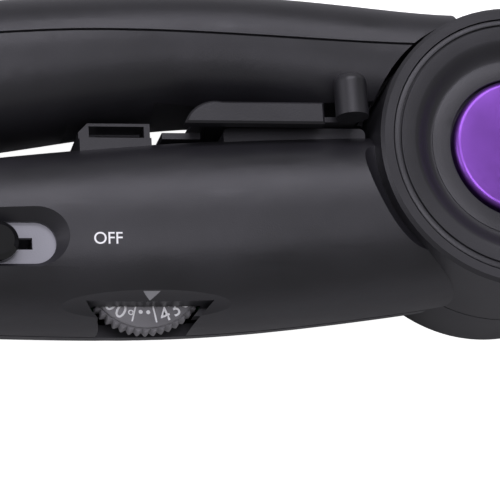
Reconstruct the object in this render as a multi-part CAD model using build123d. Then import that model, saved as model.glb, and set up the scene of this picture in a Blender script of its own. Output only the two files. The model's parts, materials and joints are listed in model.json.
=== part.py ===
from build123d import *
import math
import os

# Hair crimper: two crossed arms on one pivot, lying on its back.
# +X runs from the handles to the jaws, +Y from the lower handle to the upper one,
# +Z from the rest plane to the face with the round hub cap. The pivot axis is X = Y = 0.

# ---------------------------------------------------------------- driving dimensions, mm
THICKNESS = 34.0            # rest plane to the front of the hub
SPLIT_Z = 14.0              # plane between the two layers of the hub
LAYER_GAP = 0.3             # running gap between the hub layers
RUN_GAP = 0.5               # between casings that turn past each other
HUB_GAP = 0.9               # dark gap between the upper handle's end and the hub
HUB_R = 25.0
WALL = 2.2                  # moulded shell wall
SEAM_WIDTH = 0.45
SEAM_DEPTH = 0.8

HANDLE_END_X = -160.0
HANDLE_STOP_X = -14.0       # where the handle casings end inside the hub
JAW_TIP_X = 122.0
JAW_MOUTH_Y = 1.2           # inner edge of a jaw casing
JAW_ROOT_HEIGHT = 20.0
JAW_TIP_HEIGHT = 14.5

PLATE_START_X = 38.0
PLATE_LENGTH = 76.0
PLATE_WIDTH = 26.0
PLATE_BACK_Y = 6.0
PLATE_FLANGE = 1.0
PLATE_GAP = 0.8             # between the nested waves of the closed plates
PLATE_FIT = 0.3
WAVE_COUNT = 5
WAVE_HEIGHT = 1.4
CARRIER_WALL = 2.6
CARRIER_FACE_Y = 0.6
CARRIER_BACK_Y = 9.0
HEATER_LENGTH = 54.0
HEATER_WIDTH = 12.0
HEATER_THICKNESS = 2.6
CLIP_THICKNESS = 0.8

AXLE_R = 4.0
RUN_CLEARANCE = 0.05        # radial, for shafts in bushes
BUSH_WALL = 1.2
AXLE_HEAD_R = 6.2
AXLE_HEAD_Z = 22.0          # seat of the washer under the axle's head
THREAD_R = 3.4
NUT_R = 6.0
FRONT_BOSS_R = 9.4
REAR_BOSS_R = 11.0
REAR_CAP_R = 8.6
REAR_CAP_T = 1.2
NUT_T = 4.0
WASHER_T = 0.6
DECK_Z = 28.5               # seat of the hub cap
DECK_T = 2.4
CAP_R = 22.9
GROOVE_R = 21.65
FLAT_R = 15.6
BADGE_R = 12.1
DISH_DEPTH = 1.8
BADGE_SEAT = 1.6            # depth of the badge's seat below the flat ring

DIAL_X = -64.2
DIAL_Y = -18.4
DIAL_Z = 18.9
DIAL_R = 10.7
DIAL_FACE_R = 9.4
DIAL_T = 3.2
DIAL_TEETH = 40
DIAL_CLEARANCE = 0.4
DIAL_SHAFT_R = 2.0
WINDOW_TOP_Y = -24.8         # upper edge of the dial window
WINDOW_LOW_Y = -29.0
SCOOP_Y = -35.3             # axis of the thumb scoop
SCOOP_Z = 31.2
SCOOP_R = 12.0
SCOOP_HALF_LENGTH = 17.5
SCOOP_CURVE_R = 142.0
BOARD_Z = 8.0
BOARD_T = 1.6

SWITCH_RIGHT_X = -79.8      # right end of the slot
SWITCH_Y = -16.0
SLOT_LENGTH = 15.6
SLOT_HEIGHT = 7.2
SLOT_BEVEL = 2.3
SLOT_FLOOR_Z = 29.0
SLOT_PLATE_T = 0.8
SLIDER_LENGTH = 9.0
SLIDER_FIT = 0.3
SLIDER_TRAVEL = 5.4
SLIDER_TOP_Z = 31.6
STEM_X = 1.2
STEM_Y = 0.7

LATCH_TRAVEL = 6.0
LATCH_X0 = -57.5
LATCH_X1 = -33.6
LATCH_PLATE_Y = 6.1
LATCH_PLATE_T = 0.9
LATCH_FRONT_Z = 30.7
LATCH_FIT = 0.2
NOSE_Y = 4.85
NOSE_T = 1.1
RELIEF_Y = 10.4             # underside of the upper handle above the latch
GUIDE_X0 = -51.6
GUIDE_X1 = -33.0
KNOB_X = -28.9
KNOB_Z = 31.0
KNOB_R = 2.8
KNOB_BASE_Y = 5.7
KNOB_TOP_Y = 13.2
CATCH_X0 = -74.4
CATCH_X1 = -62.2
CATCH_TOP_Y = 7.0
CATCH_LEDGE_Y = 4.1         # top of the lower, forward part of the catch
CATCH_WALL_Z = 22.2         # rear side of the catch's front wall

CORD_Y = -14.5
CORD_Z = 16.0
CORD_BORE_R = 2.8
SWIVEL_R = 5.0
SWIVEL_FLANGE_R = 6.2

SCREW_R = 1.3
SCREW_HEAD_R = 2.5
SCREW_HEAD_T = 1.8
HANDLE_SCREW_X = (-146.0, -118.0)
BOARD_SCREW_X = (-101.0, -53.5)
COVER_SCREW_X = (-128.0, -98.0)
JAW_SCREW_X = 31.0
JAW_SCREW_Y = 9.0
TONGUE_END_X = 35.5

# section stations: (x, lowest y, highest y, rear z, front z)
LOWER_HANDLE = [
    (HANDLE_END_X, -24.0, -5.0, 5.0, 27.0), (-138.0, -25.4, -3.8, 1.6, 30.2),
    (-112.0, -26.7, -0.9, 0.3, 31.2), (-86.0, -27.4, 2.0, 0.0, 31.8),
    (-62.0, -27.8, 4.2, 0.0, 32.3), (-38.0, -26.3, 5.3, 0.0, 32.8),
    (-10.0, -22.6, 5.6, 0.2, 33.0), (8.0, -16.0, 5.4, 0.6, 32.4),
]
UPPER_HANDLE = [
    (HANDLE_END_X, -1.4, 15.6, 6.0, 26.0), (-138.0, 0.2, 20.8, 3.2, 29.4),
    (-112.0, 2.2, 26.6, 2.4, 30.8), (-86.0, 5.4, 29.9, 2.4, 30.8),
    (-62.0, 9.1, 31.3, 3.2, 30.3), (-38.0, 9.3, 30.9, 4.6, 29.7),
    (-8.0, 9.6, 28.3, 5.4, 29.7),
]
SEAM_LINE = [
    (HANDLE_END_X - 8, 5.6), (-138.0, 11.8), (-112.0, 17.6), (-88.0, 20.4), (-76.0, 21.2),
    (-62.0, 21.4), (-38.0, 20.7), (0.0, 20.0),
]
HANDLE_POWER = 2.4          # superellipse powers of the handle and jaw sections
JAW_POWER = 3.0
SECTION_POINTS = 20

FRONT_Z0 = SPLIT_Z + LAYER_GAP / 2
REAR_Z1 = SPLIT_Z - LAYER_GAP / 2
MID_Z = THICKNESS / 2
PLATE_END_X = PLATE_START_X + PLATE_LENGTH
PLATE_MID_X = PLATE_START_X + PLATE_LENGTH / 2
SLOT_MID_X = SWITCH_RIGHT_X - SLOT_LENGTH / 2
SLIDER_MID_X = SWITCH_RIGHT_X - SLOT_LENGTH + SLIDER_FIT + SLIDER_LENGTH / 2


# ---------------------------------------------------------------- plain shapes
def box(x0, x1, y0, y1, z0, z1):
    """Axis-aligned block between two corners."""
    return Pos((x0 + x1) / 2, (y0 + y1) / 2, (z0 + z1) / 2) * Box(x1 - x0, abs(y1 - y0), z1 - z0)


def slab(z0, z1):
    """Everything between two heights."""
    return box(-220, 220, -80, 80, z0, z1)


def disc(r, z0, z1, x=0.0, y=0.0):
    """Upright cylinder."""
    return Pos(x, y, (z0 + z1) / 2) * Cylinder(r, z1 - z0)


def tube(r_out, r_in, z0, z1, x=0.0, y=0.0):
    """Upright ring."""
    return disc(r_out, z0, z1, x, y) - disc(r_in, z0 - 1, z1 + 1, x, y)


def rod_x(r, x0, x1, y, z):
    """Cylinder along X."""
    return Pos((x0 + x1) / 2, y, z) * Rot(0, 90, 0) * Cylinder(r, x1 - x0)


def rod_y(r, y0, y1, x, z):
    """Cylinder along Y."""
    return Pos(x, (y0 + y1) / 2, z) * Rot(90, 0, 0) * Cylinder(r, abs(y1 - y0))


def stadium(length, height, z0, z1, x_mid, y_mid):
    """Block with round ends along X."""
    return Pos(x_mid, y_mid, z0) * extrude(SlotOverall(length, height), z1 - z0)


def screw_z(z_head, z_tip, x, y):
    """Cross-head screw driven up from the rear."""
    head = disc(SCREW_HEAD_R, z_head, z_head + SCREW_HEAD_T, x, y)
    slot = box(x - 1.6, x + 1.6, y - 0.3, y + 0.3, z_head - 1, z_head + 0.8)
    cross = box(x - 0.3, x + 0.3, y - 1.6, y + 1.6, z_head - 1, z_head + 0.8)
    return head - slot - cross + disc(SCREW_R, z_head + SCREW_HEAD_T, z_tip, x, y)


def screw_y(y_head, y_tip, x, z):
    """Cross-head screw driven up from the handle's underside."""
    head = rod_y(SCREW_HEAD_R, y_head, y_head + SCREW_HEAD_T, x, z)
    slot = box(x - 1.6, x + 1.6, y_head - 1, y_head + 0.8, z - 0.3, z + 0.3)
    cross = box(x - 0.3, x + 0.3, y_head - 1, y_head + 0.8, z - 1.6, z + 1.6)
    return head - slot - cross + rod_y(SCREW_R, y_head + SCREW_HEAD_T, y_tip, x, z)


# ---------------------------------------------------------------- casing forms
def superellipse(power, half_y, half_z, cy, cz, x):
    """Closed superellipse face in the plane X = x."""
    points = []
    for i in range(SECTION_POINTS):
        t = 2 * math.pi * (i + 0.5) / SECTION_POINTS
        c = math.cos(t)
        s = math.sin(t)
        y = cy + half_y * math.copysign(abs(c) ** (2 / power), c)
        z = cz + half_z * math.copysign(abs(s) ** (2 / power), s)
        points.append(Vector(x, y, z))
    return make_face(Spline(*points, periodic=True))


def handle_solid(stations, inset=0.0):
    """Smooth handle through its stations, shrunk all round by inset."""
    faces = []
    for x, y0, y1, z0, z1 in stations:
        end = inset if x == HANDLE_END_X else 0.0
        faces.append(superellipse(HANDLE_POWER, (y1 - y0) / 2 - inset, (z1 - z0) / 2 - inset,
                                  (y0 + y1) / 2, (z0 + z1) / 2, x + end))
    return loft(faces)


def jaw_solid(side, inset=0.0):
    """Half-dome jaw casing on one side of its mouth plane, shrunk by inset."""
    middle = (JAW_ROOT_HEIGHT + JAW_TIP_HEIGHT) / 2
    stations = [
        (HUB_R - 9, JAW_ROOT_HEIGHT, MID_Z), (HUB_R + 35, middle + 1, MID_Z),
        (JAW_TIP_X - 14, JAW_TIP_HEIGHT, MID_Z - 0.4), (JAW_TIP_X - inset, JAW_TIP_HEIGHT - 1.8, MID_Z - 1.8),
    ]
    faces = [superellipse(JAW_POWER, height - inset, depth - inset, side * JAW_MOUTH_Y, MID_Z, x)
             for x, height, depth in stations]
    return loft(faces) & box(0, 200, side * JAW_MOUTH_Y, side * 60.0, inset, THICKNESS - inset)


def above_seam():
    """Everything above the upper handle's seam line."""
    points = [Vector(x, y, -10) for x, y in SEAM_LINE]
    corners = [Vector(SEAM_LINE[-1][0], 60, -10), Vector(SEAM_LINE[0][0], 60, -10)]
    outline = Spline(*points) + Polyline(points[-1], *corners, points[0])
    return extrude(make_face(outline), THICKNESS + 20, dir=(0, 0, 1))


def station_value(stations, x, low, high):
    """Mean of two columns of a station list at x."""
    for a, b in zip(stations, stations[1:]):
        if a[0] <= x <= b[0]:
            t = (x - a[0]) / (b[0] - a[0])
            return (1 - t) * (a[low] + a[high]) / 2 + t * (b[low] + b[high]) / 2
    raise ValueError("x lies outside the stations")


lower_outer = handle_solid(LOWER_HANDLE)
lower_inner = handle_solid(LOWER_HANDLE, WALL)
lower_skin = lower_outer - handle_solid(LOWER_HANDLE, SEAM_DEPTH)
upper_outer = handle_solid(UPPER_HANDLE)
upper_inner = handle_solid(UPPER_HANDLE, WALL)
upper_skin = upper_outer - handle_solid(UPPER_HANDLE, SEAM_DEPTH)
cover_region = above_seam()


# ---------------------------------------------------------------- lower handle, fixed arm
def thumb_scoop():
    """Shallow barrel that hollows the handle's lower edge around the dial."""
    end_r = SCOOP_R - SCOOP_CURVE_R + math.sqrt(SCOOP_CURVE_R ** 2 - SCOOP_HALF_LENGTH ** 2)
    arc = ThreePointArc((-SCOOP_HALF_LENGTH, end_r), (0, SCOOP_R), (SCOOP_HALF_LENGTH, end_r))
    outline = arc + Polyline((SCOOP_HALF_LENGTH, end_r), (SCOOP_HALF_LENGTH, 0),
                             (-SCOOP_HALF_LENGTH, 0), (-SCOOP_HALF_LENGTH, end_r))
    return Pos(DIAL_X, SCOOP_Y, SCOOP_Z) * revolve(make_face(outline), Axis.X, 360)


def dial_window(grow=0.0):
    """Trapezoid opening in front of the dial."""
    top = WINDOW_TOP_Y + grow
    wide = DIAL_R + grow
    narrow = 0.6 * DIAL_R + grow
    outline = Polyline((DIAL_X - wide, top), (DIAL_X + wide, top), (DIAL_X + narrow, WINDOW_LOW_Y),
                       (DIAL_X - narrow, WINDOW_LOW_Y), close=True)
    return Pos(0, 0, FRONT_Z0 - 0.05) * extrude(make_face(outline), THICKNESS)


def switch_recess():
    """Bevelled recess and through slot for the power slider."""
    rim = 2 * SLOT_BEVEL
    outer = Pos(SLOT_MID_X, SWITCH_Y, SLOT_FLOOR_Z + 3.2) * SlotOverall(SLOT_LENGTH + rim, SLOT_HEIGHT + rim)
    inner = Pos(SLOT_MID_X, SWITCH_Y, SLOT_FLOOR_Z + 0.7) * SlotOverall(SLOT_LENGTH, SLOT_HEIGHT)
    return loft([inner, outer]) + stadium(SLOT_LENGTH, SLOT_HEIGHT, SLOT_FLOOR_Z - 1, SLOT_FLOOR_Z + 0.8,
                                          SLOT_MID_X, SWITCH_Y)


def switch_seat(z0, z1, grow=0.0):
    """Pocket that holds the slot plate and the switch below it."""
    x_half = SLOT_LENGTH / 2 + 2.0 + grow
    y_half = SLOT_HEIGHT / 2 + 1.2 + grow
    return box(SLOT_MID_X - x_half, SLOT_MID_X + x_half, SWITCH_Y - y_half, SWITCH_Y + y_half, z0, z1)


def hub_valley():
    """Tilted ring groove that sinks the handle's skin beside the upper part of the hub wall."""
    ring = Torus(HUB_R + 0.4, 2.8) - disc(HUB_R - 1, -10, 10)
    return Pos(0.5, 1.5, THICKNESS - 2.7) * Rot(-5.3, 1.9, 0) * ring


def hub_tongue(side, z0, z1):
    """Hollow tongue that carries a jaw casing."""
    y0, y1 = sorted((side * 4.6, side * 13.4))
    solid = box(HUB_R - 4, TONGUE_END_X, y0, y1, z0, z1) - disc(HUB_R - 1, -10, 50)
    return solid - disc(SCREW_R, z0 - 1, z1 - 1.5, JAW_SCREW_X, side * JAW_SCREW_Y)


def front_shell():
    """Lower handle's front half with the front layer of the hub and the upper jaw's tongue."""
    handle = (lower_outer & slab(FRONT_Z0, THICKNESS + 5)) - thumb_scoop() - hub_valley()
    handle = handle - (lower_inner - disc(HUB_R + 3.0, -1, 50))
    hub = disc(HUB_R, FRONT_Z0, THICKNESS)
    hub = chamfer(hub.edges().group_by(Axis.Z)[-1], 0.6)
    cavity = tube(HUB_R - WALL, FRONT_BOSS_R, FRONT_Z0 - 1, DECK_Z - DECK_T)
    hub = hub - cavity - disc(CAP_R, DECK_Z, THICKNESS + 5)
    hub = hub - disc(AXLE_R + RUN_CLEARANCE + BUSH_WALL, 0, DECK_Z + 1)
    hub = hub - disc(AXLE_HEAD_R + 0.8, AXLE_HEAD_Z, DECK_Z + 1)
    shell = (handle - disc(HUB_R, FRONT_Z0 - 1, THICKNESS + 5)) + hub
    shell = shell - box(-HUB_R - 4, -HUB_R + 4, -18, -8, FRONT_Z0 + 3, DECK_Z - DECK_T - 1)
    shell = shell + hub_tongue(1, FRONT_Z0 + 2.4, DECK_Z - 1.0)
    shell = shell - (lower_skin & slab(FRONT_Z0 - 1, FRONT_Z0 + SEAM_WIDTH))
    wheel_room = disc(DIAL_R + DIAL_CLEARANCE, DIAL_Z - 0.4, DIAL_Z + DIAL_T + 0.5, DIAL_X, DIAL_Y)
    shell = shell - dial_window() - wheel_room
    seat = switch_seat(SLOT_FLOOR_Z - 4, SLOT_FLOOR_Z + 1.5, 1.5) & lower_outer
    shell = (shell + seat) - switch_recess() - switch_seat(SLOT_FLOOR_Z - 5, SLOT_FLOOR_Z)
    for x in HANDLE_SCREW_X:
        y = station_value(LOWER_HANDLE, x, 1, 2)
        shell = shell + (disc(3.2, FRONT_Z0, 40, x, y) & lower_outer)
        shell = shell - disc(SCREW_R, FRONT_Z0 - 1, FRONT_Z0 + 8, x, y)
    return shell - swivel_bore()


def lower_handle_rear_shell():
    """Lower handle's rear half, ended by an arc around the moving hub layer."""
    layer = lower_outer & slab(-1, FRONT_Z0)
    arc_wall = layer & tube(HUB_R + RUN_GAP + WALL, HUB_R + RUN_GAP, -5, FRONT_Z0 + 5)
    shell = (layer - lower_inner + arc_wall) - disc(HUB_R + RUN_GAP, -5, FRONT_Z0 + 5)
    shell = shell - box(HANDLE_STOP_X, 60, -60, 60, -5, 40)
    for x in HANDLE_SCREW_X:
        y = station_value(LOWER_HANDLE, x, 1, 2)
        shell = shell + (disc(4.0, -1, FRONT_Z0, x, y) & lower_outer)
        shell = shell - disc(SCREW_HEAD_R + 0.2, -2, 7, x, y) - disc(SCREW_R + 0.2, -2, 20, x, y)
    for x in BOARD_SCREW_X:
        y = station_value(LOWER_HANDLE, x, 1, 2)
        shell = shell + (disc(2.6, -1, BOARD_Z, x, y) & lower_outer)
        shell = shell - disc(SCREW_R, WALL + 1, BOARD_Z + 1, x, y)
    return shell - swivel_bore()


def hub_cap():
    """Round cap with a fine groove, a dished ring and a flat ring round the badge."""
    top = THICKNESS
    low = THICKNESS - DISH_DEPTH
    seat = low - BADGE_SEAT
    fit = 0.1
    dish = ThreePointArc((GROOVE_R - 0.5, top), ((GROOVE_R + FLAT_R) / 2 - 0.9, low + 0.35), (FLAT_R, low))
    outline = Polyline((0, DECK_Z), (CAP_R - fit, DECK_Z), (CAP_R - fit, top - 0.5), (CAP_R - 0.4 - fit, top),
                       (GROOVE_R + 0.2, top), (GROOVE_R + 0.2, top - 0.5), (GROOVE_R - 0.2, top - 0.5),
                       (GROOVE_R - 0.2, top), (GROOVE_R - 0.5, top)) + dish
    outline = outline + Polyline((FLAT_R, low), (BADGE_R + 0.4, low), (BADGE_R + 0.4, seat), (0, seat),
                                 (0, DECK_Z))
    return revolve(make_face(Plane.XZ * outline), Axis.Z, 360)


def hub_badge():
    """Plain disc with a bevelled rim in the middle of the hub cap."""
    badge = disc(BADGE_R, THICKNESS - DISH_DEPTH - BADGE_SEAT, THICKNESS - 0.5)
    return chamfer(badge.edges().group_by(Axis.Z)[-1], 0.8)


def stop_block():
    """Pad on the lower handle's inner edge that stops the upper handle."""
    block = box(-50.0, -25.4, 2.0, 5.75, 11.0, 25.2)
    block = fillet(block.edges().filter_by(Axis.Z).group_by(Axis.Y)[-1], 1.0)
    return block - lower_outer


def catch():
    """Hook on the lower handle that the latch nose slides into."""
    body = box(CATCH_X0, CATCH_X1, 0.0, CATCH_TOP_Y, 10.0, 24.4)
    body = chamfer(body.edges().filter_by(Axis.Z).group_by(Axis.Y)[-1].sort_by(Axis.X)[0], 1.6)
    body = body - box(CATCH_X0 - 1, CATCH_X1 + 1, CATCH_LEDGE_Y, CATCH_TOP_Y + 1, CATCH_WALL_Z + 1.0, 30.0)
    floor = NOSE_Y - 0.3
    ceiling = NOSE_Y + NOSE_T + 0.25
    throat = box(CATCH_X0 + 3.6, CATCH_X1 + 1, floor, ceiling, 5.0, CATCH_WALL_Z)
    window = box(CATCH_X0 + 1.8, CATCH_X1 - 1.0, CATCH_LEDGE_Y + 0.2, CATCH_TOP_Y - 0.5, CATCH_WALL_Z - 3.2, 30.0)
    return body - throat - window - lower_outer


def dial_bezel():
    """Dark ring round the dial that fills the sides of its window."""
    ring = tube(DIAL_R + 3.2, DIAL_R + DIAL_CLEARANCE, DIAL_Z + 0.4, DIAL_Z + 1.8, DIAL_X, DIAL_Y)
    room = lower_inner + (dial_window(-0.1) & handle_solid(LOWER_HANDLE, 1.3))
    return ring & room


def potentiometer():
    """Rotary control under the dial."""
    body = box(DIAL_X - 5, DIAL_X + 5, DIAL_Y - 5, DIAL_Y + 5, BOARD_Z + BOARD_T, DIAL_Z - 0.7)
    return body - disc(DIAL_SHAFT_R + RUN_CLEARANCE, BOARD_Z + BOARD_T + 1, DIAL_Z + 5, DIAL_X, DIAL_Y)


def circuit_board():
    """Control board on two posts of the rear shell."""
    board = box(-105.0, -50.0, -22.0, -6.0, BOARD_Z, BOARD_Z + BOARD_T)
    for x in BOARD_SCREW_X:
        board = board - disc(SCREW_R, 0, 20, x, station_value(LOWER_HANDLE, x, 1, 2))
    return board


def board_parts():
    """Relay, capacitor and chip on the control board."""
    top = BOARD_Z + BOARD_T
    relay = box(-97.0, -85.0, -13.0, -7.0, top, top + 6.0)
    capacitor = disc(2.5, top, top + 8.0, -80.0, -9.5)
    chip = box(-76.0, -71.0, -12.0, -8.0, top, top + 1.4)
    return Compound(children=[relay, capacitor, chip])


def board_screws():
    """Two screws that hold the control board."""
    solids = []
    for x in BOARD_SCREW_X:
        y = station_value(LOWER_HANDLE, x, 1, 2)
        top = BOARD_Z + BOARD_T
        solids.append(disc(SCREW_HEAD_R, top, top + 1.4, x, y) + disc(SCREW_R, WALL + 1, top, x, y))
    return Compound(children=solids)


def switch_slot_plate():
    """Pale plate that shows as the floor of the power slot."""
    slit = box(SLIDER_MID_X - STEM_X - SLIDER_FIT, SLIDER_MID_X + SLIDER_TRAVEL + STEM_X + SLIDER_FIT,
               SWITCH_Y - STEM_Y - SLIDER_FIT, SWITCH_Y + STEM_Y + SLIDER_FIT, 0, 50)
    return switch_seat(SLOT_FLOOR_Z - SLOT_PLATE_T, SLOT_FLOOR_Z) - slit


def slide_switch():
    """Mains slide switch under the slot plate."""
    top = SLOT_FLOOR_Z - SLOT_PLATE_T
    body = box(SLOT_MID_X - 9, SLOT_MID_X + 9, SWITCH_Y - 3.6, SWITCH_Y + 3.6, top - 8.0, top)
    slit = box(SLIDER_MID_X - STEM_X - SLIDER_FIT, SLIDER_MID_X + SLIDER_TRAVEL + STEM_X + SLIDER_FIT,
               SWITCH_Y - STEM_Y - SLIDER_FIT, SWITCH_Y + STEM_Y + SLIDER_FIT, top - 5.0, 50)
    return body - slit


def power_slider():
    """Ridged slider with its stem into the switch."""
    knob = stadium(SLIDER_LENGTH, SLOT_HEIGHT - 2 * SLIDER_FIT, SLOT_FLOOR_Z + 0.15, SLIDER_TOP_Z,
                   SLIDER_MID_X, SWITCH_Y)
    knob = chamfer(knob.edges().group_by(Axis.Z)[-1], 0.8)
    for i in range(-2, 2):
        x = SLIDER_MID_X - 0.3 + i * 1.1
        knob = knob - box(x - 0.25, x + 0.25, SWITCH_Y - 5, SWITCH_Y + 5, SLIDER_TOP_Z - 0.5, 50)
    stem = box(SLIDER_MID_X - STEM_X, SLIDER_MID_X + STEM_X, SWITCH_Y - STEM_Y, SWITCH_Y + STEM_Y,
               SLOT_FLOOR_Z - SLOT_PLATE_T - 4.0, SLOT_FLOOR_Z + 1.0)
    return knob + stem


def temperature_dial():
    """Thumb wheel with a raised face and teeth round its rim."""
    wheel = disc(DIAL_R, DIAL_Z, DIAL_Z + DIAL_T - 0.5)
    wheel = chamfer(wheel.edges().group_by(Axis.Z)[-1], 0.7)
    wheel = wheel + disc(DIAL_FACE_R, DIAL_Z + 1, DIAL_Z + DIAL_T)
    notch = disc(0.32, DIAL_Z - 1, DIAL_Z + DIAL_T + 1, DIAL_R, 0)
    notches = [Rot(0, 0, 360 * i / DIAL_TEETH) * notch for i in range(DIAL_TEETH)]
    return Pos(DIAL_X, DIAL_Y, 0) * (wheel - notches - disc(DIAL_SHAFT_R, 0, DIAL_Z + DIAL_T - 1))


def dial_shaft():
    """Shaft from the dial into the rotary control."""
    return disc(DIAL_SHAFT_R, BOARD_Z + BOARD_T + 1.4, DIAL_Z + DIAL_T - 1, DIAL_X, DIAL_Y)


def swivel_bore():
    """Hole in the handle's end for the cord swivel."""
    return rod_x(SWIVEL_R + RUN_CLEARANCE, HANDLE_END_X - 2, HANDLE_END_X + WALL + 2, CORD_Y, CORD_Z)


def cord_swivel():
    """Turning gland at the handle's end, with the bore for the cord."""
    inner = HANDLE_END_X + WALL + 0.3
    outer = HANDLE_END_X - 0.4
    flange = rod_x(SWIVEL_FLANGE_R, inner, inner + 1.8, CORD_Y, CORD_Z)
    neck = rod_x(SWIVEL_R, outer - 1, inner + 0.5, CORD_Y, CORD_Z)
    nose = Pos(outer - 4, CORD_Y, CORD_Z) * Rot(0, 90, 0) * Cone(4.3, SWIVEL_FLANGE_R, 8)
    return flange + neck + nose - rod_x(CORD_BORE_R, outer - 12, inner + 4, CORD_Y, CORD_Z)


def handle_screws():
    """Two screws that close the lower handle."""
    return Compound(children=[screw_z(7 - SCREW_HEAD_T, FRONT_Z0 + 7, x, station_value(LOWER_HANDLE, x, 1, 2))
                              for x in HANDLE_SCREW_X])


# ---------------------------------------------------------------- pivot
def pivot_bush():
    """Plain bush pressed into the front hub boss."""
    return tube(AXLE_R + RUN_CLEARANCE + BUSH_WALL, AXLE_R + RUN_CLEARANCE, FRONT_Z0, AXLE_HEAD_Z)


def pivot_axle():
    """Shouldered axle: head, running journal and thread."""
    head_z = AXLE_HEAD_Z + RUN_CLEARANCE + WASHER_T
    head = disc(AXLE_HEAD_R, head_z, head_z + 2.8)
    socket = Pos(0, 0, head_z + 1.2) * extrude(RegularPolygon(2.6, 6), 3)
    journal = disc(AXLE_R, REAR_Z1 - WASHER_T, head_z)
    thread = disc(THREAD_R, REAR_CAP_T + 0.4, REAR_Z1 - WASHER_T)
    return head - socket + journal + thread


def head_washer():
    """Washer under the axle's head."""
    return tube(AXLE_HEAD_R, AXLE_R, AXLE_HEAD_Z + RUN_CLEARANCE, AXLE_HEAD_Z + RUN_CLEARANCE + WASHER_T)


def thrust_washer():
    """Washer between the two hub bosses."""
    return tube(AXLE_HEAD_R + 1.5, AXLE_R, REAR_Z1 - WASHER_T, FRONT_Z0 - RUN_CLEARANCE)


def pivot_nut():
    """Hexagon nut in the rear boss."""
    return Pos(0, 0, REAR_CAP_T + 0.3) * extrude(RegularPolygon(NUT_R, 6), NUT_T) - disc(THREAD_R, 0, 9)


def rear_hub_cap():
    """Flat plug over the nut."""
    return disc(REAR_CAP_R, 0, REAR_CAP_T)


# ---------------------------------------------------------------- moving arm
def underside_relief():
    """Flat cut under the upper handle that makes room for the latch."""
    over_catch = box(CATCH_X0 - 1.5, CATCH_X1 + 1.0, 0.0, CATCH_TOP_Y + RUN_GAP, -5, 50)
    return box(CATCH_X1 + 0.9, -20.0, 0.0, RELIEF_Y, -5, 50) + over_catch


def upper_handle_body():
    """Inner half of the upper handle with the rear layer of the hub and the lower jaw's tongue."""
    handle = upper_outer - cover_region - underside_relief()
    roomy = upper_inner - box(-66.0, -15.0, 0.0, RELIEF_Y + WALL, -5, 50)
    front_keep_out = disc(HUB_R + HUB_GAP + WALL, REAR_Z1 - WALL, 60)
    handle = handle - (roomy - front_keep_out - disc(HUB_R, -5, 60))
    handle = handle - disc(HUB_R + HUB_GAP, REAR_Z1, 60) - disc(HUB_R, -5, REAR_Z1)
    hub = disc(HUB_R, 0, REAR_Z1)
    hub = fillet(hub.edges().group_by(Axis.Z)[0], 1.4)
    hub = hub - tube(HUB_R - WALL, REAR_BOSS_R, 3.0, REAR_Z1 + 1)
    hub = hub - disc(REAR_BOSS_R + 0.5, REAR_Z1 - WASHER_T, REAR_Z1 + 1)
    shell = handle + hub
    shell = shell + hub_tongue(-1, 4.4, REAR_Z1 - 1.8)
    shell = shell - box(-HUB_R - 3, -HUB_R + 8, 12, 16, 5, REAR_Z1 - 3)
    shell = shell - disc(THREAD_R, -1, 20) - disc(REAR_CAP_R, -1, REAR_CAP_T)
    shell = shell - Pos(0, 0, REAR_CAP_T - 0.1) * extrude(RegularPolygon(NUT_R, 6), NUT_T + 0.4)
    shell = shell - (upper_skin & cover_seam_band())
    for x in COVER_SCREW_X:
        shell = shell + (rod_y(3.6, -20, 40, x, MID_Z) & (upper_outer - cover_region))
        low = station_value(UPPER_HANDLE, x, 1, 1)
        shell = shell - rod_y(SCREW_HEAD_R + 0.2, low - 3, low + 4, x, MID_Z)
        shell = shell - rod_y(SCREW_R + 0.2, low - 3, 60, x, MID_Z)
    return shell


def cover_seam_band():
    """Thin band just below the seam line."""
    lowered = Pos(0, -SEAM_WIDTH, 0) * cover_region
    return lowered - cover_region


def upper_handle_cover():
    """Outer cover of the upper handle, ended by an arc round the hub."""
    zone = upper_outer & cover_region
    cover = zone - (upper_inner - disc(HUB_R + HUB_GAP + WALL, -5, 60))
    cover = cover - disc(HUB_R + HUB_GAP, REAR_Z1, 60) - disc(HUB_R, -5, REAR_Z1)
    for x in COVER_SCREW_X:
        cover = cover + (rod_y(3.6, 0, 60, x, MID_Z) & zone)
        cover = cover - rod_y(SCREW_R, 0, station_value(UPPER_HANDLE, x, 2, 2) - 3, x, MID_Z)
    return cover


def cover_screws():
    """Two screws that hold the upper handle's cover."""
    solids = []
    for x in COVER_SCREW_X:
        low = station_value(UPPER_HANDLE, x, 1, 1) + 4
        tip = station_value(UPPER_HANDLE, x, 2, 2) - 4
        solids.append(screw_y(low - SCREW_HEAD_T, tip, x, MID_Z))
    return Compound(children=solids)


def latch_guide():
    """Rail under the upper handle with a T slot for the latch."""
    rail = box(GUIDE_X0, GUIDE_X1, LATCH_PLATE_Y + LATCH_PLATE_T + LATCH_FIT, RELIEF_Y, 11.0, 25.0)
    head = box(GUIDE_X0 - 1, GUIDE_X1 + 1, RELIEF_Y - 1.8, RELIEF_Y - 0.4, 12.6, 23.4)
    neck = box(GUIDE_X0 - 1, GUIDE_X1 + 1, 0.0, RELIEF_Y - 1.0, 15.0, 21.0)
    return rail - head - neck


def latch_bar():
    """Front wall of the latch, ramped at its nose end."""
    low = LATCH_PLATE_Y - 1.4
    high = LATCH_PLATE_Y + 2.4
    ramp = ThreePointArc((LATCH_X0, low), (LATCH_X0 + 1.9, high - 1.1), (LATCH_X0 + 6.6, high))
    outline = ramp + Polyline((LATCH_X0 + 6.6, high), (LATCH_X1, high), (LATCH_X1, low), (LATCH_X0, low))
    bar = Pos(0, 0, LATCH_FRONT_Z - 2.2) * extrude(make_face(outline), 2.2)
    return chamfer(bar.edges().group_by(Axis.Z)[-1], 0.35)


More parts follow.
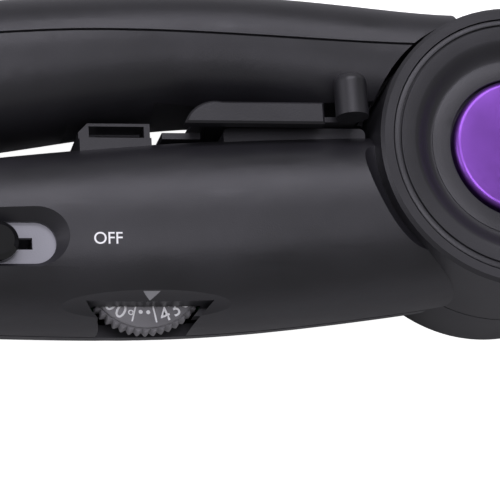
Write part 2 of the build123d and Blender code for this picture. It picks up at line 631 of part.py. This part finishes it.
def knob_stub():
    """Tab of the latch plate that sits inside the thumb knob."""
    half = KNOB_R - 1.2
    return box(KNOB_X - half, KNOB_X + half, LATCH_PLATE_Y, LATCH_PLATE_Y + LATCH_PLATE_T, 20.0, KNOB_Z)


def latch_slide():
    """Latch: T runner, plate, front bar, nose and the tab for the thumb knob."""
    y0 = LATCH_PLATE_Y
    y1 = LATCH_PLATE_Y + LATCH_PLATE_T
    head = box(LATCH_X0 + 6, LATCH_X1 - 2, RELIEF_Y - 1.6, RELIEF_Y - 0.6, 12.8, 23.2)
    neck = box(LATCH_X0 + 6, LATCH_X1 - 2, y1 - 0.1, RELIEF_Y - 1.5, 15.2, 20.8)
    start = LATCH_X0 + 2.2
    plate = box(start, LATCH_X1, y0, y1, 14.0, LATCH_FRONT_Z - 1)
    nose = box(LATCH_X0 - 2.4, start + 2, NOSE_Y, NOSE_Y + NOSE_T, 14.0, CATCH_WALL_Z - 0.4)
    riser = box(start, start + 2, NOSE_Y, y1, 14.0, CATCH_WALL_Z - 0.4)
    seat = box(LATCH_X1 - 1, KNOB_X + 1.6, y0, y1, 20.0, KNOB_Z - KNOB_R - 0.8)
    return head + neck + plate + latch_bar() + nose + riser + seat + knob_stub()


def latch_knob():
    """Domed thumb knob on the latch."""
    knob = rod_y(KNOB_R, KNOB_BASE_Y, KNOB_TOP_Y, KNOB_X, KNOB_Z)
    return fillet(knob.edges().group_by(Axis.Y)[-1], 1.6) - knob_stub()


# ---------------------------------------------------------------- jaws
def wave_point(side, z):
    """Height of a plate's waved face at z."""
    phase = 2 * math.pi * WAVE_COUNT * (z - MID_Z) / PLATE_WIDTH
    return side * PLATE_GAP / 2 + WAVE_HEIGHT * math.sin(phase)


def plate_room(side, grow, y0, y1):
    """Block the size of a crimping plate, larger by grow."""
    return box(PLATE_START_X - grow, PLATE_END_X + grow, side * y0, side * y1,
               MID_Z - PLATE_WIDTH / 2 - grow, MID_Z + PLATE_WIDTH / 2 + grow)


def crimp_plate(side):
    """Waved plate with a flange that hooks behind its carrier."""
    steps = 8 * WAVE_COUNT
    z0 = MID_Z - PLATE_WIDTH / 2
    points = []
    for i in range(steps + 1):
        z = z0 + PLATE_WIDTH * i / steps
        points.append(Vector(PLATE_START_X, wave_point(side, z), z))
    back = side * PLATE_BACK_Y
    outline = Spline(*points) + Polyline(points[-1], Vector(PLATE_START_X, back, z0 + PLATE_WIDTH),
                                         Vector(PLATE_START_X, back, z0), points[0])
    plate = extrude(make_face(outline), PLATE_LENGTH, dir=(1, 0, 0))
    return plate + plate_room(side, PLATE_FLANGE, PLATE_BACK_Y - 1.5, PLATE_BACK_Y)


def carrier_block(side, y0, y1):
    """Outer block of a plate carrier."""
    return plate_room(side, CARRIER_WALL - PLATE_FIT, y0, y1)


def plate_carrier(side):
    """Heat-resistant frame that holds a crimping plate."""
    ledge = PLATE_BACK_Y - 1.5
    block = carrier_block(side, CARRIER_FACE_Y, CARRIER_BACK_Y)
    window = plate_room(side, PLATE_FIT, 0.0, ledge)
    pocket = plate_room(side, PLATE_FLANGE, ledge, CARRIER_BACK_Y + 1)
    return block - window - pocket


def jaw_housing(side):
    """Casing of one jaw, seated on its hub layer and clear of the other."""
    own, other = ((FRONT_Z0, 60), (-5, FRONT_Z0)) if side > 0 else ((-5, REAR_Z1), (REAR_Z1, 60))
    casing = jaw_solid(side) - jaw_solid(side, WALL)
    root = jaw_solid(side) & tube(HUB_R + RUN_GAP + WALL, HUB_R, -5, 60)
    casing = casing + root
    casing = casing - disc(HUB_R, *own) - disc(HUB_R + RUN_GAP, *other)
    casing = casing - box(-20, HUB_R - 12, -60, 60, -5, 60)
    casing = casing - carrier_block(side, 0.0, CARRIER_BACK_Y)
    z0, z1 = (FRONT_Z0 + 2.4, DECK_Z - 1.0) if side > 0 else (4.4, REAR_Z1 - 1.8)
    y0, y1 = sorted((side * 4.6, side * 13.4))
    casing = casing - box(HUB_R - 4, TONGUE_END_X, y0, y1, z0, z1)
    boss = (disc(3.6, -1, z0, JAW_SCREW_X, side * JAW_SCREW_Y) & jaw_solid(side))
    boss = boss - carrier_block(side, 0.0, CARRIER_BACK_Y)
    casing = casing + boss - disc(SCREW_HEAD_R + 0.2, -2, 3.0, JAW_SCREW_X, side * JAW_SCREW_Y)
    return casing - disc(SCREW_R + 0.2, -2, z0 + 0.1, JAW_SCREW_X, side * JAW_SCREW_Y)


def jaw_screw(side):
    """Screw from the rear into a hub tongue."""
    z0 = FRONT_Z0 + 2.4 if side > 0 else 4.4
    return screw_z(3.0 - SCREW_HEAD_T, z0 + 5, JAW_SCREW_X, side * JAW_SCREW_Y)


def heater(side):
    """Ceramic heating slab on the back of a plate."""
    return box(PLATE_MID_X - HEATER_LENGTH / 2, PLATE_MID_X + HEATER_LENGTH / 2, side * PLATE_BACK_Y,
               side * (PLATE_BACK_Y + HEATER_THICKNESS), MID_Z - HEATER_WIDTH / 2, MID_Z + HEATER_WIDTH / 2)


def heater_clip(side):
    """Steel strip that clamps the heater to its plate."""
    reach = HEATER_LENGTH / 2 + 2.0
    back = PLATE_BACK_Y + HEATER_THICKNESS
    strip = box(PLATE_MID_X - reach, PLATE_MID_X + reach, side * back, side * (back + CLIP_THICKNESS),
                MID_Z - 4, MID_Z + 4)
    for end in (-1, 1):
        x = PLATE_MID_X + end * (reach - 0.5)
        strip = strip + box(x - 0.5, x + 0.5, side * PLATE_BACK_Y, side * (back + CLIP_THICKNESS),
                            MID_Z - 4, MID_Z + 4)
    return strip


def thermal_fuse():
    """One-shot fuse beside the upper heater."""
    y = PLATE_BACK_Y + 1.6
    z = MID_Z + HEATER_WIDTH / 2 + 3.0
    return rod_x(1.6, 60, 71, y, z) + rod_x(0.4, 52, 79, y, z)


def thermistor():
    """Temperature sensor beside the upper heater."""
    z = MID_Z - HEATER_WIDTH / 2 - 3.0
    return box(74, 79, PLATE_BACK_Y, PLATE_BACK_Y + 1.8, z - 1.5, z + 1.5)


NODES = {
    "front_shell": front_shell,
    "lower_handle_rear_shell": lower_handle_rear_shell,
    "hub_cap": hub_cap,
    "hub_badge": hub_badge,
    "stop_block": stop_block,
    "catch": catch,
    "dial_bezel": dial_bezel,
    "potentiometer": potentiometer,
    "circuit_board": circuit_board,
    "board_parts": board_parts,
    "board_screws": board_screws,
    "switch_slot_plate": switch_slot_plate,
    "slide_switch": slide_switch,
    "handle_screws": handle_screws,
    "pivot_bush": pivot_bush,
    "upper_jaw_housing": lambda: jaw_housing(1),
    "upper_plate_carrier": lambda: plate_carrier(1),
    "upper_crimp_plate": lambda: crimp_plate(1),
    "upper_heater": lambda: heater(1),
    "upper_heater_clip": lambda: heater_clip(1),
    "upper_jaw_screw": lambda: jaw_screw(1),
    "thermal_fuse": thermal_fuse,
    "thermistor": thermistor,
    "power_slider": power_slider,
    "temperature_dial": temperature_dial,
    "dial_shaft": dial_shaft,
    "cord_swivel": cord_swivel,
    "upper_handle_body": upper_handle_body,
    "upper_handle_cover": upper_handle_cover,
    "cover_screws": cover_screws,
    "pivot_axle": pivot_axle,
    "head_washer": head_washer,
    "thrust_washer": thrust_washer,
    "pivot_nut": pivot_nut,
    "rear_hub_cap": rear_hub_cap,
    "latch_guide": latch_guide,
    "lower_jaw_housing": lambda: jaw_housing(-1),
    "lower_plate_carrier": lambda: plate_carrier(-1),
    "lower_crimp_plate": lambda: crimp_plate(-1),
    "lower_heater": lambda: heater(-1),
    "lower_heater_clip": lambda: heater_clip(-1),
    "lower_jaw_screw": lambda: jaw_screw(-1),
    "latch_slide": latch_slide,
    "latch_knob": latch_knob,
}

os.makedirs("parts", exist_ok=True)
for name, make in NODES.items():
    solid = make()
    export_step(solid, f"parts/{name}.step")
    print(name, round(solid.volume, 1))
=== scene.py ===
import bpy
import bmesh
import json
import math
from mathutils import Matrix, Vector
from mathutils.bvhtree import BVHTree


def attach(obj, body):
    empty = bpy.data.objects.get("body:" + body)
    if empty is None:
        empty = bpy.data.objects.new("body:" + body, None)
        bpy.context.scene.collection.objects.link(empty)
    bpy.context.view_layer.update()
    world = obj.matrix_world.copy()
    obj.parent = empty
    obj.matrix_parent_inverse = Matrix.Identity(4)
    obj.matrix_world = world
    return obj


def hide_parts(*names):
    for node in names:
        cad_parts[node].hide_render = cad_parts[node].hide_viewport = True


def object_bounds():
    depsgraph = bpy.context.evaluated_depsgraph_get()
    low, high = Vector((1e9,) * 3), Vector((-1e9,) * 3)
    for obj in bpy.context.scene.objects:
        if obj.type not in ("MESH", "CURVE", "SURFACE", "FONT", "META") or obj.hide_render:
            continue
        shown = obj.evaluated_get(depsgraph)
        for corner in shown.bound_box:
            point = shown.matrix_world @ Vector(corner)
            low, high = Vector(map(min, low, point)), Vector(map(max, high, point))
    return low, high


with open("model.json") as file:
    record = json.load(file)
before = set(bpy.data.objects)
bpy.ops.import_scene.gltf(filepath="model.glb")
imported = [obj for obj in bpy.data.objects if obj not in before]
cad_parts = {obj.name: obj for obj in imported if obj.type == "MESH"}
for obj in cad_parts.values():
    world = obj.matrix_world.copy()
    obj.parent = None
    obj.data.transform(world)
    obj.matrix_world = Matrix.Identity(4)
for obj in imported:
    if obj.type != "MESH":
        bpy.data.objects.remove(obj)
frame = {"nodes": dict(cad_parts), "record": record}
cad_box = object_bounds()
nodes = frame["nodes"]
MM = 0.001
SATIN = (0.36, 0.44)  # roughness of the casing, from its polished to its dull patches


# ---------------------------------------------------------------- materials
def new_material(name, color, roughness, metallic=0.0):
    """Principled material with its plain values on the shader's own sockets."""
    mat = bpy.data.materials.new(name)
    mat.use_nodes = True
    shader = mat.node_tree.nodes["Principled BSDF"]
    shader.inputs["Base Color"].default_value = (*color, 1.0)
    shader.inputs["Roughness"].default_value = roughness
    shader.inputs["Metallic"].default_value = metallic
    return mat, shader


def noise(mat, scale, detail=3.0, stretch=(1.0, 1.0, 1.0)):
    """Noise in the object's own space, stretched along an axis where asked."""
    tree = mat.node_tree
    where = tree.nodes.new("ShaderNodeTexCoord")
    mapping = tree.nodes.new("ShaderNodeMapping")
    mapping.inputs["Scale"].default_value = stretch
    tex = tree.nodes.new("ShaderNodeTexNoise")
    tex.inputs["Scale"].default_value = scale
    tex.inputs["Detail"].default_value = detail
    tree.links.new(where.outputs["Object"], mapping.inputs["Vector"])
    tree.links.new(mapping.outputs["Vector"], tex.inputs["Vector"])
    return tex


def remap(mat, tex, from_low, from_high, low, high):
    """A texture's value spread from low to high, as a socket."""
    ramp = mat.node_tree.nodes.new("ShaderNodeMapRange")
    ramp.inputs["From Min"].default_value = from_low
    ramp.inputs["From Max"].default_value = from_high
    ramp.inputs["To Min"].default_value = low
    ramp.inputs["To Max"].default_value = high
    mat.node_tree.links.new(tex.outputs["Fac"], ramp.inputs["Value"])
    return ramp.outputs["Result"]


def vary_roughness(mat, shader, tex, low, high):
    """Roughness that a texture moves between low and high."""
    mat.node_tree.links.new(remap(mat, tex, 0.3, 0.7, low, high), shader.inputs["Roughness"])


def tint(mat, shader, tex, dark, light):
    """Colour variation between two colours."""
    ramp = mat.node_tree.nodes.new("ShaderNodeValToRGB")
    ramp.color_ramp.elements[0].position = 0.3
    ramp.color_ramp.elements[0].color = (*dark, 1.0)
    ramp.color_ramp.elements[1].position = 0.7
    ramp.color_ramp.elements[1].color = (*light, 1.0)
    mat.node_tree.links.new(tex.outputs["Fac"], ramp.inputs["Fac"])
    mat.node_tree.links.new(ramp.outputs["Color"], shader.inputs["Base Color"])


def bump(mat, shader, tex, strength, distance):
    """Surface relief from a texture, distance in metres."""
    node = mat.node_tree.nodes.new("ShaderNodeBump")
    node.inputs["Strength"].default_value = strength
    node.inputs["Distance"].default_value = distance
    mat.node_tree.links.new(tex.outputs["Fac"], node.inputs["Height"])
    mat.node_tree.links.new(node.outputs["Normal"], shader.inputs["Normal"])


def scaled(color, k):
    """A colour made lighter or darker."""
    return tuple(c * k for c in color)


def plastic(name, color, rough, grain=0.04 * MM, spread=0.2):
    """Moulded plastic: fine spark-eroded grain, faint patches of shine and tone, and
    long scuffs where handling has polished it."""
    mat, shader = new_material(name, color, sum(rough) / 2)
    patches = noise(mat, 60.0, 2.0)
    fine = noise(mat, 3800.0, 2.0)
    tint(mat, shader, patches, scaled(color, 1 - spread), scaled(color, 1 + spread))
    scuffs = noise(mat, 34.0, 6.0, (1.0, 7.0, 3.0))
    worn = remap(mat, scuffs, 0.62, 0.72, 0.0, -0.1)
    shine = remap(mat, patches, 0.3, 0.7, *rough)
    total = mat.node_tree.nodes.new("ShaderNodeMath")
    total.operation = "ADD"
    mat.node_tree.links.new(worn, total.inputs[0])
    mat.node_tree.links.new(shine, total.inputs[1])
    mat.node_tree.links.new(total.outputs[0], shader.inputs["Roughness"])
    bump(mat, shader, fine, 0.5, grain)
    return mat


def metal(name, color, rough, stretch=(1.0, 1.0, 1.0), depth=0.004 * MM, scale=900.0):
    """Metal with fine tooling marks along one axis and slight tarnish."""
    mat, shader = new_material(name, color, sum(rough) / 2, metallic=1.0)
    marks = noise(mat, scale, 4.0, stretch)
    patches = noise(mat, 120.0, 2.0)
    tint(mat, shader, patches, scaled(color, 0.85), scaled(color, 1.08))
    vary_roughness(mat, shader, marks, *rough)
    bump(mat, shader, marks, 0.4, depth)
    return mat


BLACK = (0.0185, 0.018, 0.0212)
PURPLE = (0.235, 0.085, 0.46)
finishes = {
    "black_shell": plastic("black satin shell", BLACK, SATIN),
    "black_trim": plastic("black trim", BLACK, SATIN),
    "dark_grey_trim": plastic("dark grey trim", (0.05, 0.05, 0.054), (0.5, 0.6)),
    "gloss_black": plastic("gloss black", (0.008, 0.008, 0.009), (0.1, 0.16), 0.004 * MM),
    "pale_grey": plastic("pale grey", (0.3, 0.3, 0.33), (0.45, 0.55)),
    "purple_badge": metal("anodised purple", PURPLE, (0.34, 0.42), depth=0.002 * MM, scale=1500.0),
    "purple_plate": metal("coated purple plate", (0.17, 0.075, 0.33), (0.28, 0.36)),
    "heat_frame": plastic("heat frame", (0.014, 0.014, 0.015), (0.55, 0.65)),
    "dial_grey": plastic("dial grey", (0.2, 0.195, 0.205), (0.42, 0.5)),
    "steel": metal("bright steel", (0.56, 0.56, 0.58), (0.2, 0.34), (1, 12, 1)),
    "bronze": metal("bronze", (0.52, 0.34, 0.16), (0.3, 0.4)),
    "nylon": plastic("nylon", (0.68, 0.66, 0.6), (0.4, 0.5)),
    "board_green": plastic("solder mask", (0.02, 0.12, 0.05), (0.3, 0.4)),
    "dark_parts": plastic("component black", (0.03, 0.03, 0.032), (0.4, 0.55)),
    "heater_ceramic": plastic("fired ceramic", (0.66, 0.62, 0.54), (0.6, 0.75)),
    "fuse_metal": metal("fuse metal", (0.6, 0.6, 0.62), (0.25, 0.4)),
}
for entry in frame["record"]["subparts"]:
    mesh = nodes[entry["node"]].data
    mesh.materials.clear()
    mesh.materials.append(finishes[entry["material_slot"]])


def ink(name, color):
    """Printed ink, slightly uneven in shine."""
    mat, shader = new_material(name, color, 0.5)
    vary_roughness(mat, shader, noise(mat, 2000.0), 0.4, 0.6)
    return mat


white_print = ink("white print", (0.95, 0.95, 0.95))
grey_print = ink("grey print", (0.36, 0.36, 0.38))


# ---------------------------------------------------------------- turned pieces
SEGMENTS = 224  # facets round a turned piece


def lathe(name, profile):
    """Closed turned mesh from (radius, height) pairs in millimetres, both ends on the axis."""
    bm = bmesh.new()
    rings = []
    for radius, height in profile:
        if radius == 0:
            rings.append([bm.verts.new((0, 0, height * MM))])
            continue
        ring = []
        for k in range(SEGMENTS):
            angle = 2 * math.pi * k / SEGMENTS
            x, y = radius * MM * math.cos(angle), radius * MM * math.sin(angle)
            ring.append(bm.verts.new((x, y, height * MM)))
        rings.append(ring)
    for a, b in zip(rings, rings[1:]):
        for k in range(SEGMENTS):
            n = (k + 1) % SEGMENTS
            loop = [a[k % len(a)], a[n % len(a)], b[n % len(b)], b[k % len(b)]]
            bm.faces.new(list(dict.fromkeys(loop)))
    bmesh.ops.recalc_face_normals(bm, faces=bm.faces[:])
    mesh = bpy.data.meshes.new(name)
    bm.to_mesh(mesh)
    bm.free()
    for face in mesh.polygons:
        face.use_smooth = True
    mesh.set_sharp_from_angle(angle=math.radians(35))
    return mesh


def stand_in(name, mesh, body, node, slot):
    """Links a finer mesh in place of a CAD node."""
    mesh.materials.append(finishes[slot])
    obj = bpy.data.objects.new(name, mesh)
    bpy.context.scene.collection.objects.link(obj)
    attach(obj, body)
    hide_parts(node)


# heights and radii of the turned hub pieces, in millimetres
TOP = 34.0          # face of the hub cap
RING_Z = 32.2       # flat ring round the badge
CAP_FOOT = 28.5     # underside of the cap
BADGE_SEAT = 30.6   # floor of the badge's pocket
CAP_R = 22.8
GROOVE_FLOOR = 33.5
GROOVE_LIP = 33.94
DISH_R = 19.3       # outer edge of the dished ring
DISH_WIDTH = 3.5
DISH_DEPTH = 2.0
DISH_STEPS = 12


def dish_point(t):
    """Point on the dished ring, t from 0 at its outer edge to 1 at its inner edge."""
    fall = 0.5 - 0.5 * math.cos(math.pi * t ** 0.9)
    return (DISH_R - DISH_WIDTH * t, TOP - DISH_DEPTH * fall)


outer_edge = [(CAP_R, CAP_FOOT), (CAP_R, 33.55), (22.68, 33.85), (22.4, TOP)]
groove = [(21.86, TOP), (21.8, GROOVE_LIP), (21.78, GROOVE_FLOOR),
          (21.52, GROOVE_FLOOR), (21.5, GROOVE_LIP), (21.44, TOP)]
dish = [dish_point(t / DISH_STEPS) for t in range(DISH_STEPS + 1)]
flat_ring = [(15.72, 32.02), (15.68, RING_Z - 0.04), (15.6, RING_Z), (12.66, RING_Z), (12.52, 32.1)]
cap_profile = [(0, CAP_FOOT), *outer_edge, *groove, *dish, *flat_ring,
               (12.5, BADGE_SEAT), (0, BADGE_SEAT)]
cap = lathe("hub_cap_turned", cap_profile)
stand_in("hub_cap_turned", cap, "fixed_arm", "hub_cap", "black_shell")

BADGE_FACE_R = 11.0    # where the badge's face meets its rounded rim
BADGE_RIM_R = 1.1
BADGE_RIM_Z = 32.3
BADGE_CROWN = 0.1


def rim_point(degrees):
    """Point on the badge's rounded rim, from its side at 0 to its face at 90."""
    turn = math.radians(degrees)
    return (BADGE_FACE_R + BADGE_RIM_R * math.cos(turn), BADGE_RIM_Z + BADGE_RIM_R * math.sin(turn))


rim = [rim_point(a) for a in range(0, 91, 9)]
crown = [(r, 33.4 + BADGE_CROWN * (1 - (r / BADGE_FACE_R) ** 2)) for r in (9.0, 6.0, 3.0, 0)]
badge_profile = [(0, BADGE_SEAT), (12.1, BADGE_SEAT), *rim, *crown]
badge = lathe("hub_badge_turned", badge_profile)
stand_in("hub_badge_turned", badge, "fixed_arm", "hub_badge", "purple_badge")


TEETH = 48          # on the thumb wheel's rim
TOOTH_STEPS = 8     # facets in each tooth


def knurled_dial(name, centre, rim_r, face_r, z0, z1):
    """Thumb wheel: printed face, bevel, and a lower rim of rounded teeth."""
    count = TEETH * TOOTH_STEPS
    rim_top = z1 - 0.7
    bm = bmesh.new()

    def ring(radius, z, depth):
        out = []
        for k in range(count):
            angle = 2 * math.pi * k / count
            swell = 0.5 + 0.5 * math.cos(2 * math.pi * k / TOOTH_STEPS)
            r = (radius - depth * (1 - swell ** 0.7)) * MM
            x, y = centre[0] + r * math.cos(angle), centre[1] + r * math.sin(angle)
            out.append(bm.verts.new((x, y, z * MM)))
        return out

    hub_r, edge = 2.0, 0.3
    levels = [ring(hub_r, z0, 0), ring(rim_r - 0.5, z0, 0.3), ring(rim_r, z0 + 0.35, 0.6),
              ring(rim_r, rim_top - edge, 0.6), ring(rim_r - edge, rim_top, 0.5),
              ring(face_r + 0.12, rim_top, 0), ring(face_r + 0.1, z1 - 0.12, 0),
              ring(face_r - 0.05, z1, 0), ring(hub_r, z1, 0)]
    for a, b in zip(levels, levels[1:]):
        for k in range(count):
            n = (k + 1) % count
            bm.faces.new((a[k], a[n], b[n], b[k]))
    bm.faces.new(levels[0][::-1])
    bm.faces.new(levels[-1])
    bmesh.ops.recalc_face_normals(bm, faces=bm.faces[:])
    mesh = bpy.data.meshes.new(name)
    bm.to_mesh(mesh)
    bm.free()
    for face in mesh.polygons:
        face.use_smooth = len(face.vertices) == 4
    mesh.set_sharp_from_angle(angle=math.radians(40))
    return mesh


DIAL_X = -64.2
DIAL = (DIAL_X * MM, -18.4 * MM)
WHEEL_FACE = 22.09  # height of the wheel's printed face, in millimetres
wheel = knurled_dial("dial_wheel", DIAL, 10.69, 9.75, 18.91, WHEEL_FACE)
stand_in("dial_wheel", wheel, "dial", "temperature_dial", "dial_grey")


# ---------------------------------------------------------------- printed marks
def drop_on(mesh, node, lift):
    """Lays a flat mesh on a CAD node's front surface, seen from +Z."""
    source = nodes[node].data
    points = [v.co for v in source.vertices]
    tree = BVHTree.FromPolygons(points, [p.vertices for p in source.polygons])
    for v in mesh.vertices:
        hit = tree.ray_cast(Vector((v.co.x, v.co.y, 1.0)), Vector((0, 0, -1)))[0]
        v.co.z = hit.z + lift


def lay_flat(mesh, z):
    """Lays a flat mesh at one height."""
    for v in mesh.vertices:
        v.co.z = z


def lettering(name, text, size, turn=0.0, at=(0.0, 0.0), bold=0.0):
    """Flat mesh of a short mark, centred at a place in the XY plane."""
    curve = bpy.data.curves.new(name, "FONT")
    curve.body = text
    curve.size = size
    curve.align_x = "CENTER"
    curve.align_y = "CENTER"
    curve.offset = bold
    source = bpy.data.objects.new(name + "_curve", curve)
    bpy.context.scene.collection.objects.link(source)
    mesh = bpy.data.meshes.new_from_object(source)
    bpy.data.objects.remove(source)
    mesh.transform(Matrix.Translation((at[0], at[1], 0)) @ Matrix.Rotation(turn, 4, "Z"))
    mesh.materials.clear()
    mesh.materials.append(white_print)
    return mesh


def place(name, mesh, body):
    """Links a printed mark as a piece that rides on a body."""
    obj = bpy.data.objects.new(name, mesh)
    bpy.context.scene.collection.objects.link(obj)
    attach(obj, body)


def triangle(name, tip, width, height):
    """Flat pointer with its tip toward -Y, cut fine enough to follow a curved wall."""
    mesh = bpy.data.meshes.new(name)
    rows = 8
    points = []
    for i in range(rows + 1):
        half = width / 2 * i / rows
        y = tip[1] + height * i / rows
        points += [(tip[0] - half, y, 0.0), (tip[0], y, 0.0), (tip[0] + half, y, 0.0)]
    faces = []
    for i in range(rows):
        a = 3 * i
        faces += [(a, a + 1, a + 4, a + 3), (a + 1, a + 2, a + 5, a + 4)]
    mesh.from_pydata(points, [], faces)
    mesh.materials.append(grey_print)
    return mesh


def joined(name, meshes):
    """One mesh from several."""
    bm = bmesh.new()
    for mesh in meshes:
        bm.from_mesh(mesh)
    out = bpy.data.meshes.new(name)
    bm.to_mesh(out)
    bm.free()
    out.materials.append(white_print)
    return out


MARK_LIFT = 0.03 * MM       # print stands this far off its wall
STROKE = 0.015 * MM         # added round each letter's outline
DIGIT_ANGLE = 13.5          # from one digit to the next, round the wheel


def on_arc(name, text, size, degrees, radius):
    """One mark on the dial, its foot toward the rim."""
    turn = math.radians(degrees)
    at = (DIAL[0] + radius * math.sin(turn), DIAL[1] - radius * math.cos(turn))
    return lettering(name, text, size, turn, at, STROKE)


def dial_number(name, text, middle):
    """Digits spread round the dial, with a degree sign after them."""
    marks = []
    for i, letter in enumerate(text):
        degrees = middle + (i - 1) * DIGIT_ANGLE
        marks.append(on_arc(f"{name}_{i}", letter, 3.5 * MM, degrees, 8.35 * MM))
    marks.append(on_arc(f"{name}_ring", "o", 1.9 * MM, middle + 25.0, 7.6 * MM))
    return joined(name, marks)


def dial_dots(name, middle):
    """Two dots between two ticks, the step between one number and the next."""
    marks = []
    for i, a in enumerate((-5.0, 5.0)):
        marks.append(on_arc(f"{name}_{i}", ".", 5.5 * MM, middle + a, 5.9 * MM))
    for i, a in enumerate((-13, 13)):
        marks.append(on_arc(f"{name}_tick_{i}", "|", 3.1 * MM, middle + a, 7.5 * MM))
    return joined(name, marks)


off_mark = lettering("off_mark", "OFF", 2.75 * MM, at=(-71.65 * MM, -16.0 * MM), bold=STROKE)
drop_on(off_mark, "front_shell", MARK_LIFT)
place("off_mark", off_mark, "fixed_arm")

pointer = triangle("dial_pointer", (DIAL_X * MM, -24.7 * MM), 2.9 * MM, 0.95 * MM)
drop_on(pointer, "front_shell", MARK_LIFT)
place("dial_pointer", pointer, "fixed_arm")

DIAL_STEP = 80.0        # degrees from one number to the next
FIRST_NUMBER = 35.0
FIRST_DOTS = -3.0
PRINT_Z = WHEEL_FACE * MM + MARK_LIFT
for i, text in enumerate(("430", "400", "370", "340")):
    number = dial_number(f"dial_number_{i}", text, FIRST_NUMBER - DIAL_STEP * i)
    lay_flat(number, PRINT_Z)
    place(f"dial_number_{i}", number, "dial")
    dots = dial_dots(f"dial_dots_{i}", FIRST_DOTS - DIAL_STEP * i)
    lay_flat(dots, PRINT_Z)
    place(f"dial_dots_{i}", dots, "dial")


# ---------------------------------------------------------------- stage, light and camera
LOOK_AT = Vector((-46.7, -15.8, 25.0)) * MM
FLOOR_SIZE = 8.0


def flat_plane(name, size, z):
    """Square plane round the origin at one height."""
    mesh = bpy.data.meshes.new(name)
    s = size / 2
    mesh.from_pydata([(-s, -s, z), (s, -s, z), (s, s, z), (-s, s, z)], [], [(0, 1, 2, 3)])
    obj = bpy.data.objects.new(name, mesh)
    bpy.context.scene.collection.objects.link(obj)
    return obj


floor_level = cad_box[0][2]
floor = flat_plane("floor", FLOOR_SIZE, floor_level)
floor_mat, floor_shader = new_material("floor paper", (0.5, 0.5, 0.5), 0.9)
vary_roughness(floor_mat, floor_shader, noise(floor_mat, 40.0), 0.85, 0.95)
# the paper glows to the camera alone, so it looks white and throws no light upward
seen = floor_mat.node_tree.nodes.new("ShaderNodeLightPath")
glow = floor_shader.inputs["Emission Strength"]
floor_shader.inputs["Emission Color"].default_value = (1, 1, 1, 1)
floor_mat.node_tree.links.new(seen.outputs["Is Camera Ray"], glow)
floor.data.materials.append(floor_mat)


LIGHT_COLOR = (1.0, 0.97, 1.1)


def soft_light(name, where, size, power):
    """Rectangular softbox aimed at the pivot, unseen by the camera."""
    data = bpy.data.lights.new(name, "AREA")
    data.shape = "RECTANGLE"
    data.size, data.size_y = size
    data.energy = power
    data.color = LIGHT_COLOR
    obj = bpy.data.objects.new(name, data)
    bpy.context.scene.collection.objects.link(obj)
    obj.location = where
    obj.rotation_euler = (-Vector(where)).to_track_quat("-Z", "Y").to_euler()
    obj.visible_camera = False


soft_light("key_softbox", (-0.2, 1.7, 2.1), (2.4, 0.9), 31.0)
soft_light("front_softbox", (-0.5, -0.2, 3.2), (1.4, 1.4), 30.0)
soft_light("rim_softbox", (-2.4, 0.3, 1.2), (1.0, 1.6), 10.0)

world = bpy.data.worlds.new("studio")
bpy.context.scene.world = world
world.use_nodes = True
world.node_tree.nodes["Background"].inputs["Color"].default_value = (1, 1, 1, 1)
world.node_tree.nodes["Background"].inputs["Strength"].default_value = 0.3
bpy.context.scene.view_settings.view_transform = "Standard"

TOWARDS_CAMERA = Vector((-0.21, -0.293, 0.933)).normalized()
IMAGE_UP = Vector((0.0, 0.954, 0.30)).normalized()
FRAME_WIDTH = 83.3 * MM
LENS = 200.0
camera_data = bpy.data.cameras.new("camera")
camera_data.lens = LENS
camera_data.clip_end = 20.0
camera = bpy.data.objects.new("camera", camera_data)
bpy.context.scene.collection.objects.link(camera)
side = IMAGE_UP.cross(TOWARDS_CAMERA).normalized()
up = TOWARDS_CAMERA.cross(side)
axes = Matrix((side, up, TOWARDS_CAMERA)).transposed().to_4x4()
distance = FRAME_WIDTH * LENS / camera_data.sensor_width
camera.matrix_world = Matrix.Translation(LOOK_AT + TOWARDS_CAMERA * distance) @ axes
bpy.context.scene.camera = camera
